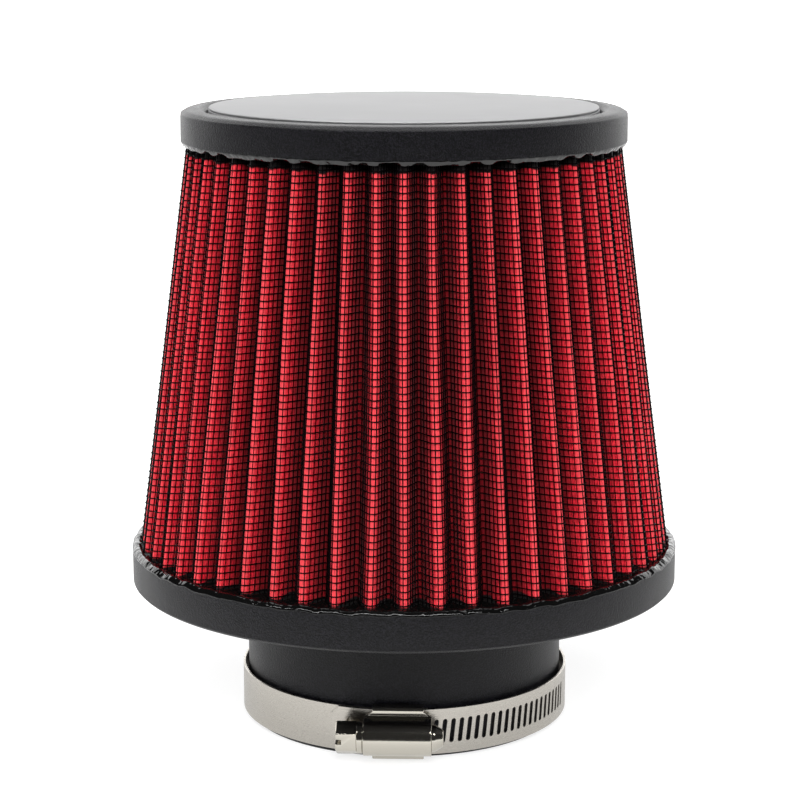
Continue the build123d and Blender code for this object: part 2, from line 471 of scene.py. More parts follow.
def urethaneMaterial():
    material, tree, shader = newMaterial("blackUrethane", Specular_IOR_Level=0.3)
    marks = useGroup(tree, grain, objectVector(tree), Fine=1.0)
    fleck = remap(tree, marks["Height"], 0.42, 0.62)
    paint(tree, shader, "urethane", fleck, marks["Cloud"])
    bumpTo(tree, shader, marks["Height"], 0.8, 0.25 * mm)
    return material


def resinMaterial(name, **constants):
    material, tree, shader = newMaterial(name, **constants)
    cloud = useGroup(tree, grain, objectVector(tree), Fine=0.4)["Cloud"]
    paint(tree, shader, "resin", cloud, cloud)
    drops = noiseOf(tree, objectVector(tree), 520, 1.0)
    bumpTo(tree, shader, drops, 0.6, 0.6 * mm)
    return material


gauzeLook = {
    "threadPitch": 0.46 * mm,
    "gap": (0.24, 0.002, 0.007),      # between threads
    "thread": (1.0, 0.020, 0.044),
    "yarn": (1.0, 0.055, 0.07),       # lighter lengths of thread
    "dash": (0.16, 0.002, 0.007),     # darker ones
    "blotch": (0.38, 0.008, 0.014),   # oil
    # painted shade: near-black mixed in deeper down each fold, by foldDepth
    "valley": (0.05, 0.001, 0.002),
    # painted highlight: lighter pink mixed in on each fold's crest, by foldDepth
    "crest": (1.0, 0.11, 0.125),
    "soaked": (0.006, 0.005, 0.005),
    "soakedHead": 158.8 * mm,
    "soakedFoot": (50.3 * mm, 51.2 * mm),    # on the crests, in the valleys
}


def gauzeMaterial():
    material, tree, shader = newMaterial("redGauze", Specular_IOR_Level=0.2, Sheen_Weight=0.05)
    where = objectVector(tree)
    fine = 1 / gauzeLook["threadPitch"]
    split = addNode(tree, "ShaderNodeSeparateXYZ", {"Vector": uvVector(tree, fine, fine)})
    waves = []
    for axis in ("X", "Y"):
        turn = math2(tree, "MULTIPLY", split.outputs[axis], 2 * math.pi)
        waves.append(math2(tree, "MULTIPLY_ADD", math2(tree, "SINE", turn), 0.5, 0.5))
    weft = remap(tree, waves[1], 0.0, 1.0, 0.75, 1.0)
    weave = math2(tree, "MULTIPLY", remap(tree, waves[0], 0.1, 0.7), weft)
    body = mixColours(tree, weave, gauzeLook["gap"], gauzeLook["thread"])
    yarn = noiseOf(tree, uvVector(tree, fine, 0.06 * fine), 1.0, 2.0)
    dash = noiseOf(tree, uvVector(tree, fine, 0.3 * fine), 1.0, 1.0)
    blotch = noiseOf(tree, where, 55, 3.0)
    fold = addNode(tree, "ShaderNodeAttribute", attribute_name="foldDepth").outputs["Fac"]
    # yarn, dash and blotch are the cloth's own tone; valley is painted shade deep in the folds and crest a
    # painted highlight on them
    for mark, span, strength, colour in (
            (yarn, (0.4, 0.65), (0.0, 0.6), "yarn"),
            (dash, (0.32, 0.58), (0.6, 0.0), "dash"),
            (blotch, (0.45, 0.75), (0.0, 0.25), "blotch"),
            (fold, (0.06, 0.8), (0.0, 0.88), "valley"),
            (fold, (0.0, 0.14), (0.45, 0.0), "crest")):
        body = mixColours(tree, remap(tree, mark, *span, *strength), body, gauzeLook[colour])
    levels = {
        "Foot Level": remap(tree, fold, 0.1, 0.8, *gauzeLook["soakedFoot"]),
        "Head Level": gauzeLook["soakedHead"],
    }
    wet = useGroup(tree, soak, where, **levels)["Soaked"]
    feed(tree, shader, {
        "Base Color": mixColours(tree, wet, body, gauzeLook["soaked"]),
        "Roughness": remap(tree, wet, 0.0, 1.0, 0.75, 0.3),
    })
    bumpTo(tree, shader, weave, 0.5, 0.2 * mm)
    return material


def wireMaterial():
    material, tree, shader = newMaterial("coatedWire", Specular_IOR_Level=0.06)
    cloud = useGroup(tree, grain, objectVector(tree), Fine=0.5)["Cloud"]
    paint(tree, shader, "wire", cloud, cloud)
    return material


def plateMaterial():
    tint = (0.58, 0.58, 0.58, 1)
    material, tree, shader = newMaterial("satinPlate", Metallic=0.75, Specular_Tint=tint)
    marks = useGroup(tree, grain, objectVector(tree), Fine=1.0)
    streaks = useGroup(tree, streakMarks, stretched(tree, "Object", (60, 5000, 1)))["Streaks"]
    paint(tree, shader, "plate", streaks, marks["Cloud"])
    bumpTo(tree, shader, marks["Height"], 0.12, 0.06 * mm)
    return material


def bandMaterial():
    material, tree, shader = newMaterial("bandSteel", Metallic=1.0)
    streaks = useGroup(tree, streakMarks, uvVector(tree, 220, 6500))["Streaks"]
    paint(tree, shader, "band", streaks, streaks)
    bumpTo(tree, shader, streaks, 0.08, 0.05 * mm)
    return material


def polishedMaterial():
    material, tree, shader = newMaterial("polishedSteel", Metallic=1.0)
    smudge = useGroup(tree, streakMarks, stretched(tree, "Object", (900, 4000, 4000)))["Smudge"]
    paint(tree, shader, "polished", smudge, smudge)
    return material


urethane = urethaneMaterial()
resin = resinMaterial("pottingResin", IOR=1.4)
lipResin = resinMaterial("lipResin", Specular_IOR_Level=0.65)
redGauze = gauzeMaterial()
coatedWire = wireMaterial()
satinPlate = plateMaterial()
bandSteel = bandMaterial()
polishedSteel = polishedMaterial()
print("materials made")

# Pleated pack, millimetres at its foot
packLow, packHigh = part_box("outer_wire_mesh")
pleats = {
    "count": 52,
    "firstCrest": math.radians(2.0 - 90),
    "tip": 74.25,          # folded middle line at a crest
    "depth": 5.5,
    "bend": 1.08,          # fold radius of the middle line
    "narrowing": 0.787,    # head to foot
    "foot": packLow.z / mm,
    "head": packHigh.z / mm,
    "uneven": 0.22,        # how far a fold wanders
    "leanDegrees": 0.16,
    "leanAtEnds": 0.35,    # share of the lean left at the foot and the head
}
halfPitch = math.pi / pleats["count"]


def turnBy(angle):
    return np.array([[math.cos(angle), math.sin(angle)], [-math.sin(angle), math.cos(angle)]])


def packScale(level):
    # the pack narrows towards its head
    return 1 + (pleats["narrowing"] - 1) * (level - pleats["foot"]) / (pleats["head"] - pleats["foot"])


def foldGeometry():
    crest = pleats["tip"] - pleats["bend"]
    valley = pleats["tip"] - pleats["depth"] + pleats["bend"]
    across = valley * math.sin(halfPitch)
    inward = valley * math.cos(halfPitch) - crest
    normal = math.atan2(across, inward) - math.acos(2 * pleats["bend"] / math.hypot(across, inward))
    return crest, valley, normal


crestCentre, valleyCentre, flankNormal = foldGeometry()


def onePleat(offset, crestSteps, flankSteps, valleySteps):
    # one fold at the foot with its crest on +X, from the crest's right side to the next crest
    bend = pleats["bend"]
    spread = flankNormal - halfPitch
    turns = np.linspace(-flankNormal, flankNormal, crestSteps + 1)
    reach = bend + offset
    crest = np.stack([crestCentre + reach * np.cos(turns), reach * np.sin(turns)], 1)
    leans = halfPitch + math.pi - np.linspace(-spread, spread, valleySteps + 1)
    middle = np.array([math.cos(halfPitch), math.sin(halfPitch)]) * valleyCentre
    valley = middle + (bend - offset) * np.stack([np.cos(leans), np.sin(leans)], 1)
    nextCrest = crest[0] @ turnBy(2 * halfPitch)
    shares = np.linspace(0, 1, flankSteps + 1)[1:-1, None]
    down = crest[-1] * (1 - shares) + valley[0] * shares
    up = valley[-1] * (1 - shares) + nextCrest * shares
    return np.concatenate([crest, down, valley, up])


def allPleats(section):
    rounds = []
    for pleat in range(pleats["count"]):
        rounds.append(section @ turnBy(pleats["firstCrest"] + 2 * halfPitch * pleat))
    return np.concatenate(rounds)


def alongSection(section):
    # running length round all the folds
    closed = np.concatenate([section, section[:1]])
    steps = np.linalg.norm(np.diff(closed, axis=0), axis=1)
    return np.concatenate([[0], np.cumsum(steps)[:-1]])


# folds round the pack, phase and rise of each wave of the unevenness
wanderWaves = ((11, 0.4, 2.1), (19, 1.9, -1.4), (29, 4.2, 2.9), (41, 2.6, -3.7))


def wander(points):
    # the folds are a little uneven, most at half height
    x, y, z = points.T
    radius = np.hypot(x, y)
    turn = np.arctan2(y, x)
    height = (z - pleats["foot"]) / (pleats["head"] - pleats["foot"])
    loose = np.sin(math.pi * np.clip(height, 0, 1)) ** 0.5
    swing = np.zeros(len(points))
    push = np.zeros(len(points))
    for waves, phase, rise in wanderWaves:
        swing += np.sin(waves * turn + phase + rise * height)
        push += np.cos(waves * turn + 2 * phase - rise * height)
    held = pleats["leanAtEnds"]
    turn = turn + math.radians(pleats["leanDegrees"]) * swing * (held + (1 - held) * loose)
    radius = radius + pleats["uneven"] / len(wanderWaves) * push * loose
    return np.stack([radius * np.cos(turn), radius * np.sin(turn), z], 1)


def packRows(section, levels):
    rows = []
    for level in levels:
        rows.append(np.column_stack([section * packScale(level), np.full(len(section), level)]))
    return wander(np.concatenate(rows))


# Gauze
gauze = {
    "outside": 0.05,         # from the folded middle line
    "inside": -0.35,
    "rows": 26,
    "steps": (9, 6, 4),      # on a crest, a flank and a valley
}


def makeGauze():
    levels = np.linspace(pleats["foot"], pleats["head"], gauze["rows"])
    sides = []
    depths = []
    lengths = []
    for offset in (gauze["outside"], gauze["inside"]):
        section = allPleats(onePleat(offset, *gauze["steps"]))
        depths.append(np.tile((pleats["tip"] - np.hypot(*section.T)) / pleats["depth"], gauze["rows"]))
        sides.append(packRows(section, levels))
        lengths.append(alongSection(section))
    columns = len(lengths[0])
    total = gauze["rows"] * columns
    outer = gridFaces(gauze["rows"], columns)
    faces = outer + [tuple(total + i for i in reversed(face)) for face in outer]
    top = total - columns
    for column in range(columns):
        after = (column + 1) % columns
        faces.append((after, column, total + column, total + after))
        faces.append((top + column, top + after, total + top + after, total + top + column))
    piece = addPiece("gauze", np.concatenate(sides) * mm, faces)
    across = np.concatenate([np.tile(length, gauze["rows"]) for length in lengths])
    along = np.tile(np.repeat(levels, columns), 2)
    giveUv(piece, np.stack([across, along], 1) * mm)
    # foldDepth sets the painted shade deep in the folds, the painted highlight on the crests and the soaked
    # line at the foot
    shade = piece.data.attributes.new("foldDepth", "FLOAT", "POINT")
    shade.data.foreach_set("value", np.concatenate(depths))
    settle(piece, redGauze, "filter", "red_gauze", "cotton_gauze")


makeGauze()
print("gauze made")

# Wire cloth outside and inside the gauze
wires = {
    "weftRadius": 0.17,
    "warpRadius": 0.15,
    "sides": 4,
    "warpOffset": 0.52,
    "weftOffset": 0.66,
    "warpPerPleat": 10,
    "weftPitch": 1.78,
    "weftSteps": (5, 2, 2),       # on a crest, a flank and a valley
    "innerSteps": (2, 1, 3),
    "warpSteps": (12, 10, 6),
    "warpRows": 8,
    "warpMargin": 0.4,
    "weftMargin": 0.6,
}
tubeTree = wireTree()


def weftRows(name, section, levels, node):
    points = packRows(section, levels)
    columns = len(section)
    edges = []
    for row in range(len(levels)):
        edges += [(row * columns + i, row * columns + (i + 1) % columns) for i in range(columns)]
    drawWires(addPiece(name, points * mm, [], edges), wires["weftRadius"], node)


def warpLines(name, section, node):
    margin = wires["warpMargin"]
    rows = wires["warpRows"]
    levels = np.linspace(pleats["foot"] + margin, pleats["head"] - margin, rows + 1)
    lengths = alongSection(section)
    count = pleats["count"] * wires["warpPerPleat"]
    stops = np.arange(count) * lengths[-1] / count
    picked = np.stack([np.interp(stops, lengths, section[:, axis]) for axis in (0, 1)], 1)
    points = packRows(picked, levels)
    edges = [(i, i + count) for i in range(rows * count)]
    drawWires(addPiece(name, points * mm, [], edges), wires["warpRadius"], node)


def drawWires(piece, radius, node):
    runTree(piece, tubeTree, {
        "Wire Radius": radius * mm,
        "Sides": wires["sides"],
        "Material": coatedWire,
    })
    piece.data.shade_smooth()
    settle(piece, None, "filter", "coated_wire", node)


def makeWireCloth():
    rows = int((pleats["head"] - pleats["foot"]) / wires["weftPitch"])
    levels = pleats["foot"] + wires["weftMargin"] + np.arange(rows) * wires["weftPitch"]
    half = rows // 2
    weft = allPleats(onePleat(wires["weftOffset"], *wires["weftSteps"]))
    warp = allPleats(onePleat(wires["warpOffset"], *wires["warpSteps"]))
    weftRows("outerWeftLow", weft, levels[:half], "outer_wire_mesh")
    weftRows("outerWeftHigh", weft, levels[half:], "outer_wire_mesh")
    warpLines("outerWarp", warp, "outer_wire_mesh")
    weft = allPleats(onePleat(-wires["weftOffset"], *wires["innerSteps"]))
    warp = allPleats(onePleat(-wires["warpOffset"], *wires["warpSteps"]))
    weftRows("innerWeft", weft, levels, "inner_wire_mesh")
    warpLines("innerWarp", warp, "inner_wire_mesh")


makeWireCloth()
print("wire cloth made")

# Base cap
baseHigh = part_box("base_cap")[1]
base = {
    "bore": 38.0,
    "neck": 44.3,
    "flange": 39.3,         # underside of the base
    "radius": baseHigh.x / mm,
    "top": baseHigh.z / mm,
    "rimInside": 74.6,
    "wallTop": 49.2,
    "cup": 75.28,
    "floor": 45.0,
    "edge": 0.75,
    "segments": 320,
}


def makeBase():
    outline = roundCorners([
        (base["bore"], 0, 0.6),
        (base["neck"], 0, 1.1),
        (base["neck"], base["flange"], 0.8),
        (base["radius"] - base["edge"], base["flange"], 0.15),
        (base["radius"], base["flange"] + base["edge"], 0.15),
        (base["radius"], base["wallTop"], 0.25),
        (base["rimInside"], base["top"], 0.3),
        (base["cup"], base["floor"], 0),
        (base["bore"], base["floor"], 0.6),
    ], 6)
    piece = spinOutline("baseCap", outline, base["segments"])
    sharpFrom(piece, 50)
    settle(piece, urethane, "filter", "black_urethane", "base_cap")


makeBase()
print("base made")

# Potting resin round the folds, from the bead at its edge inwards
potting = {
    "level": 49.6,        # in the valleys
    "bottom": 46.0,
    "edge": [(76.3, 48.9), (76.55, 49.05), (76.52, 49.35), (76.2, 49.75),
             (75.75, 50.15), (75.35, 50.38), (74.9, 50.42), (74.5, 50.36)],
    "outside": 74.2,
    "inside": 64.0,
    "lobe": 0.3,
    "climb": 0.9,
    "climbReach": 0.5,
    "rings": 30,
    "perPleat": 20,
}
ceiling = {
    "level": 163.0,
    "bottom": 165.8,
    "edge": [(60.2, 162.8)],
    "outside": 59.8,
    "inside": 50.0,
    "lobe": 0.0,
    "climb": -1.6,
    "climbReach": 0.7,
    "rings": 22,
    "perPleat": 16,
}


# height, waves round the ring, phase and shift with the radius of each wave of the resin
lumpWaves = ((1.0, 23, 0.7, 0.0), (1.0, 61, 2.0, 0.4), (0.5, 97, 4.0, -0.9), (0.2, 151, 1.0, 1.7))
flow = {
    "lobes": 0.4,          # shares of a lobe that follow the folds and the lumps
    "drips": 0.8,
    "dripRadius": 3.0,
    "climbLumps": 0.5,
    "flatLumps": 0.07,
    "undercut": 0.9,
    "lineSteps": (16, 24, 8),    # points of the cloth's line on a crest, a flank and a valley
}


def clothDistance(points, level):
    line = onePleat(wires["weftOffset"], *flow["lineSteps"]) * packScale(level)
    line = np.concatenate([line, line * [1, -1]])
    turn = np.arctan2(points[:, 1], points[:, 0]) - pleats["firstCrest"]
    turn = (turn + halfPitch) % (2 * halfPitch) - halfPitch
    radius = np.hypot(points[:, 0], points[:, 1])
    local = np.stack([radius * np.cos(turn), radius * np.sin(turn)], 1)
    return np.min(np.linalg.norm(local[:, None] - line[None], axis=2), axis=1)


def lumps(turn, radius):
    total = 0
    for high, waves, phase, shift in lumpWaves:
        total = total + high * np.sin(waves * turn + phase + radius * shift)
    return total / 3      # under 1


def resinRing(name, ring):
    columns = pleats["count"] * ring["perPleat"]
    turns = np.arange(columns) * 2 * math.pi / columns
    around = np.stack([np.cos(turns), np.sin(turns)], 1)
    lobes = np.cos(pleats["count"] * (turns - pleats["firstCrest"]))
    spill = flow["lobes"] * lobes + flow["drips"] * lumps(turns, flow["dripRadius"])
    rows = [(radius, level + ring["lobe"] * spill) for radius, level in ring["edge"]]
    for radius in np.linspace(ring["outside"], ring["inside"], ring["rings"]):
        flat = radius * around
        near = np.exp(-clothDistance(flat, ring["level"]) / ring["climbReach"])
        rough = lumps(turns, radius)
        climb = ring["climb"] * near * (1 + flow["climbLumps"] * rough)
        rows.append((radius, ring["level"] + climb + flow["flatLumps"] * rough))
    for radius in (ring["inside"], ring["outside"] - flow["undercut"]):
        rows.append((radius, np.full(columns, ring["bottom"])))
    points = [np.column_stack([radius * around, level]) for radius, level in rows]
    piece = addPiece(name, np.concatenate(points) * mm, gridFaces(len(rows), columns, closedRows=True))
    facesOutward(piece)
    settle(piece, resin, "filter", "black_urethane")


resinRing("baseResin", potting)
resinRing("capResin", ceiling)
print("resin made")

# Top cap and plate
capLow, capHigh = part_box("top_cap")
plateLow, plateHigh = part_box("top_plate")
cap = {
    "radius": capHigh.x / mm,
    "top": capHigh.z / mm,
    "lipBottom": capLow.z / mm,
    "lipRadius": 60.0,
    "wallFoot": 162.3,
    "ceiling": 166.6,
    "seat": plateLow.z / mm,
    "seatRadius": 53.9,
    "seatDraft": 0.2,
    "seatStep": 0.8,
    "lipWall": 0.9,
    "lipEdge": 0.3,
    "lipDrop": 0.1,         # below the solid's lip, before the scallops
    "crownWidth": 1.6,      # rounded shoulder of the wall
    "crownDrop": 1.1,
    "crownFall": 0.15,
    "rimWidth": 5.0,
    "scallop": 1.2,         # height of the arches between folds
    "scallopTop": 0.9,
    "scallopFade": 1.1,
    "scallopLeast": 0.2,    # share of the lowest arch
    "scallopBeat": 2.3,     # change from one arch to the next
    "scallopPhase": 0.7,
    "wetTop": 0.5,          # glossy resin up to here above the wall's foot
    "perPleat": 10,
}
plate = {
    "radius": plateHigh.x / mm,
    "top": plateHigh.z / mm,
    "edge": 0.28,
    "rollSet": 0.1,         # rolled edge: set in, groove and bead
    "grooveSet": 0.6,
    "rollDrop": 0.3,
    "grooveDrop": 0.35,
    "beadTop": 0.7,
    "beadDrop": 0.75,
    "segments": 256,
}


def makeTopCap():
    lipInside = cap["lipRadius"] - cap["lipWall"]
    lipBottom = cap["lipBottom"] - cap["lipDrop"]
    outline = roundCorners([
        (0, cap["ceiling"], 0),
        (lipInside, cap["ceiling"], 0),
        (lipInside, lipBottom, 0.2),
        (cap["lipRadius"] + cap["lipEdge"], lipBottom, 0.15),
        (cap["radius"], cap["wallFoot"], 0.2),
        (cap["radius"], cap["top"] - cap["crownDrop"], 0.35),
        (cap["radius"] - cap["crownWidth"], cap["top"] - cap["crownFall"], 0.8),
        (cap["radius"] - cap["rimWidth"], cap["top"], 0.25),
        (cap["seatRadius"] + cap["seatDraft"], cap["seat"] + cap["seatStep"], 0),
        (cap["seatRadius"], cap["seat"], 0),
        (0, cap["seat"], 0),
    ], 6)
    piece = spinOutline("topCap", outline, pleats["count"] * cap["perPleat"], onAxis=True)
    for vertex in piece.data.vertices:
        hang = (cap["lipBottom"] + cap["scallopTop"] - vertex.co.z / mm) / cap["scallopFade"]
        if hang > 0:
            turn = math.atan2(vertex.co.y, vertex.co.x)
            fold = (turn - pleats["firstCrest"]) / (2 * halfPitch)
            beat = math.sin(cap["scallopBeat"] * math.floor(fold) + cap["scallopPhase"]) ** 4
            wave = cap["scallopLeast"] + (1 - cap["scallopLeast"]) * beat
            arch = math.sin(math.pi * fold) ** 2 * wave
            vertex.co.z += arch * cap["scallop"] * min(hang, 1) * mm
    sharpFrom(piece, 50)
    piece.data.materials.append(urethane)
    piece.data.materials.append(lipResin)
    for face in piece.data.polygons:
        outside = math.hypot(*face.center[:2]) > cap["lipRadius"] * mm
        face.material_index = int(outside and face.center.z < (cap["wallFoot"] + cap["wetTop"]) * mm)
    settle(piece, None, "filter", "black_urethane", "top_cap")


def makePlate():
    groove = plate["radius"] - plate["grooveSet"]
    roll = plate["radius"] - plate["rollSet"]
    outline = roundCorners([
        (0, cap["seat"], 0),
        (plate["radius"], cap["seat"], 0),
        (plate["radius"], plate["top"] - plate["beadDrop"], 0.15),
        (groove, plate["top"] - plate["beadTop"], 0),
        (groove, plate["top"] - plate["grooveDrop"], 0),
        (roll, plate["top"] - plate["rollDrop"], 0),
        (roll, plate["top"], plate["edge"]),
        (0, plate["top"], 0),
    ], 4)
    piece = spinOutline("topPlate", outline, plate["segments"], onAxis=True)
    sharpFrom(piece, 50)
    settle(piece, satinPlate, "filter", "satin_plate", "top_plate")


makeTopCap()
makePlate()
print("cap and plate made")

# Clamp band
bandLow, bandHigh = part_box("clamp_band")
band = {
    "inside": 45.2,
    "thickness": 0.7,
    "layerGap": 0.1,
    "liftTurn": 150,        # degrees from the front
    "headTurn": 10,
    "tailTurn": 23,
    "tailCorner": 2.25,
    "bottom": bandLow.z / mm,
    "top": bandHigh.z / mm,
    "edge": 0.12,
    "step": 2.0,            # degrees between sections
}
slots = {
    "pitch": 2.37,
    "height": 6.7,
    "width": 1.25,
    "slant": 6.5,
    "lastTurn": 80,
    "tailMargin": 5.0,
    "roundSteps": 6,
}
bandMiddle = (band["bottom"] + band["top"]) / 2
liftSpan = math.radians(band["liftTurn"] - band["headTurn"])
bandLift = (band["thickness"] + band["layerGap"]) / (1 - math.cos(liftSpan))
liftHeading = math.radians(band["liftTurn"] - 90)
liftCentre = (-bandLift * math.cos(liftHeading), -bandLift * math.sin(liftHeading))
tailRadius = band["inside"] + bandLift


def bandPath():
    # inner surface of the strip from its hidden end to its free end: place, heading
    stations = []
    for turn in np.arange(band["headTurn"], band["liftTurn"] - 360, -band["step"]):
        stations.append(((0, 0), band["inside"], turn))
    corner = math.degrees(band["tailCorner"] / tailRadius)
    turns = list(np.arange(band["liftTurn"], corner - band["tailTurn"], -band["step"]))
    for turn in turns + [corner - band["tailTurn"], -band["tailTurn"]]:
        stations.append((liftCentre, tailRadius, turn))
    return stations


def makeBandStrip():
    stations = bandPath()
    edge = band["edge"]
    thick = band["thickness"]
    points = []
    values = []
    run = 0.0
    for index, (centre, radius, turn) in enumerate(stations):
        half = (band["top"] - band["bottom"]) / 2
        if index == len(stations) - 1:
            half -= band["tailCorner"]
        heading = math.radians(turn - 90)
        section = [(0, edge - half), (edge, -half), (thick - edge, -half), (thick, edge - half),
                   (thick, half - edge), (thick - edge, half), (edge, half), (0, half - edge)]
        for out, up in section:
            x = centre[0] + (radius + out) * math.cos(heading)
            y = centre[1] + (radius + out) * math.sin(heading)
            points.append((x * mm, y * mm, (bandMiddle + up) * mm))
            values.append((run * mm, up * mm))
        run += math.radians(band["step"]) * radius
    piece = addPiece("clampBand", points, tubeFaces(len(stations), len(section)))
    giveUv(piece, values)
    facesOutward(piece)
    return piece


def slotCutter():
    # one slot with round ends, its depth along X, leaning with the thread
    half = slots["width"] / 2
    straight = slots["height"] / 2 - half
    outline = []
    for end in (1, -1):
        for step in range(slots["roundSteps"] + 1):
            turn = math.pi * step / slots["roundSteps"]
            outline.append((end * half * math.cos(turn), end * (straight + half * math.sin(turn))))
    lean = math.tan(math.radians(slots["slant"]))
    deep = (band["thickness"] + band["layerGap"]) / 2
    points = [(x * mm, (y + z * lean) * mm, z * mm) for x in (-deep, deep) for y, z in outline]
    piece = addPiece("slotCutter", points, tubeFaces(2, len(outline)))
    facesOutward(piece)
    return piece


def slotTree():
    tree, given, result = nodeTree("slottedBand", [
        ("Cutter", "Object"),
        ("Slots", "Int"),
        ("First Heading", "Float"),
        ("Heading Step", "Float"),
        ("Radius", "Float"),
        ("Centre", "Vector"),
        ("Material", "Material"),
    ])
    line = addNode(tree, "GeometryNodeMeshLine", {"Count": given["Slots"]})
    order = addNode(tree, "GeometryNodeInputIndex").outputs["Index"]
    heading = math2(tree, "MULTIPLY_ADD", order, given["Heading Step"], given["First Heading"])
    ring = addNode(tree, "ShaderNodeCombineXYZ", {
        "X": math2(tree, "COSINE", heading),
        "Y": math2(tree, "SINE", heading),
    })
    place = addNode(tree, "ShaderNodeVectorMath", {
        0: ring.outputs["Vector"],
        1: given["Radius"],
        2: given["Centre"],
    }, operation="MULTIPLY_ADD")
    spread = addNode(tree, "GeometryNodeSetPosition", {
        "Geometry": line.outputs["Mesh"],
        "Position": place.outputs["Vector"],
    })
    copies = addNode(tree, "GeometryNodeInstanceOnPoints", {
        "Points": spread.outputs["Geometry"],
        "Instance": addNode(tree, "GeometryNodeObjectInfo", {"Object": given["Cutter"]}).outputs["Geometry"],
        "Rotation": addNode(tree, "ShaderNodeCombineXYZ", {"Z": heading}).outputs["Vector"],
    })
    single = addNode(tree, "GeometryNodeRealizeInstances", {"Geometry": copies.outputs["Instances"]})
    cut = addNode(tree, "GeometryNodeMeshBoolean", {
        "Mesh 1": given["Geometry"],
        "Mesh 2": single.outputs["Geometry"],
    }, operation="DIFFERENCE", solver="EXACT")
    closeTree(tree, given, result, cut.outputs["Mesh"])
    return tree


def makeBand():
    piece = makeBandStrip()
    cutter = slotCutter()
    middle = tailRadius + band["thickness"] / 2
    step = slots["pitch"] / middle
    first = math.radians(-band["tailTurn"]) + slots["tailMargin"] / middle
    count = int((math.radians(slots["lastTurn"]) - first) / step)
    runTree(piece, slotTree(), {
        "Cutter": cutter,
        "Slots": count,
        "First Heading": first - math.pi / 2,
        "Heading Step": step,
        "Radius": middle * mm,
        "Centre": (liftCentre[0] * mm, liftCentre[1] * mm, bandMiddle * mm),
        "Material": bandSteel,
    })
    bpy.data.objects.remove(cutter)
    sharpFrom(piece, 35)
    settle(piece, None, "filter", "band_steel", "clamp_band")


makeBand()
print("band made")

# Clamp housing, sheet metal bent over the screw
screwPlace = Vector(frame["joints"][0]["pos_m"])
housing = {
    "length": 18.2,
    "skirtLength": 13.8,
    "wall": 0.85,
    "bore": 3.98,
    "shoulder": 47.006,     # inner face of the shoulders, from the axis
    "skirtHalf": 6.55,
    "skirtFoot": 44.45,
    "bend": 0.8,
    "edge": 0.22,
    "narrowStart": 0.1,     # beside the dome, where the sheet narrows to the skirt
    "narrowSpan": 1.7,
    "arcSteps": 24,
    "columns": 30,
}


def housingLine():
    wall = housing["wall"]
    out = -screwPlace.y / mm
    dome = housing["bore"] + wall / 2
    shoulder = housing["shoulder"] + wall / 2
    skirt = housing["skirtHalf"] + wall / 2
    bend = housing["bend"]
    turns = np.linspace(-math.pi / 2, math.pi / 2, housing["arcSteps"] + 1)
    arc = [(out + dome * math.cos(t), dome * math.sin(t), 0) for t in turns]
    low = [(housing["skirtFoot"], -skirt, 0), (shoulder, -skirt, bend), (shoulder, -dome, bend)]
    high = [(x, -y, r) for x, y, r in reversed(low)]
    return roundCorners(low + arc + high, 6)


def makeHousing():
    line = housingLine()
    dome = housing["bore"] + housing["wall"] / 2
    columns = housing["columns"]
    points = []
    for out, up in line:
        narrow = (abs(up) - dome - housing["narrowStart"]) / housing["narrowSpan"]
        narrow = min(1.0, max(0.0, narrow))
        narrow = narrow * narrow * (3 - 2 * narrow)
        half = housing["length"] / 2 - narrow * (housing["length"] - housing["skirtLength"]) / 2
        for column in range(columns):
            along = half * (2 * column / (columns - 1) - 1)
            points.append((along * mm, -out * mm, screwPlace.z + up * mm))
    piece = addPiece("clampHousing", points, gridFaces(len(line), columns, closedColumns=False))
    solid = piece.modifiers.new("sheet", "SOLIDIFY")
    solid.thickness = housing["wall"] * mm
    solid.offset = 0
    softenEdges(piece, housing["edge"], segments=3, degrees=50)
    applyModifiers(piece)
    facesOutward(piece)
    sharpFrom(piece, 35)
    settle(piece, polishedSteel, "filter", "polished_steel", "clamp_housing")


makeHousing()
print("housing made")

# Worm screw, along X through the housing
screw = {
    "core": 3.25,
    "thread": 3.86,
    "pitch": 2.37,
    "ridge": 1.5,           # width of the thread at its root
    "ridgeSunk": 0.3,       # how far the root lies in the core
    "crown": 0.45,          # width of the thread's crest to its root
    "threadSteps": 36,
    "turnsShort": 0.5,
    "collar": 4.3,
    "collarLength": 1.6,
    "headFlats": 8.0,
    "headLength": 5.6,
    "headEdge": 0.45,
    "headBevel": 0.14,
    "driverWidth": 1.2,
    "driverDepth": 1.6,
    "tip": 3.6,
    "tipStart": (-0.4, -0.1),    # taper from the core, from the housing's end
    "tipStraight": 0.9,
    "tipEnd": 2.2,
    "tipLength": 3.2,
    "endGap": 0.15,
    "segments": 64,
}
housingEnd = housing["length"] / 2
collarStart = -housingEnd - screw["endGap"] - screw["collarLength"]


def spinAlongX(name, outline):
    piece = spinOutline(name, outline, screw["segments"], onAxis=True)
    piece.data.transform(Matrix.Rotation(math.pi / 2, 4, "Y"))
    piece.data.transform(Matrix.Translation(screwPlace))
    return piece


def threadTree():
    tree, given, result = nodeTree("wormThread", [
        ("Turns", "Float"),
        ("Root Radius", "Float"),
        ("Length", "Float"),
        ("Root Width", "Float"),
        ("Depth", "Float"),
        ("Material", "Material"),
    ])
    helix = addNode(tree, "GeometryNodeCurveSpiral", {
        "Resolution": screw["threadSteps"],
        "Rotations": given["Turns"],
        "Start Radius": given["Root Radius"],
        "End Radius": given["Root Radius"],
        "Height": given["Length"],
    })
    ridge = addNode(tree, "GeometryNodeCurvePrimitiveQuadrilateral", {
        "Bottom Width": given["Root Width"],
        "Top Width": math2(tree, "MULTIPLY", given["Root Width"], screw["crown"]),
        "Height": given["Depth"],
        "Offset": 0,
    }, mode="TRAPEZOID")
    sweep = addNode(tree, "GeometryNodeCurveToMesh", {
        "Curve": helix.outputs["Curve"],
        "Profile Curve": ridge.outputs["Curve"],
        "Fill Caps": True,
    })
    closeTree(tree, given, result, sweep.outputs["Mesh"])
    return tree


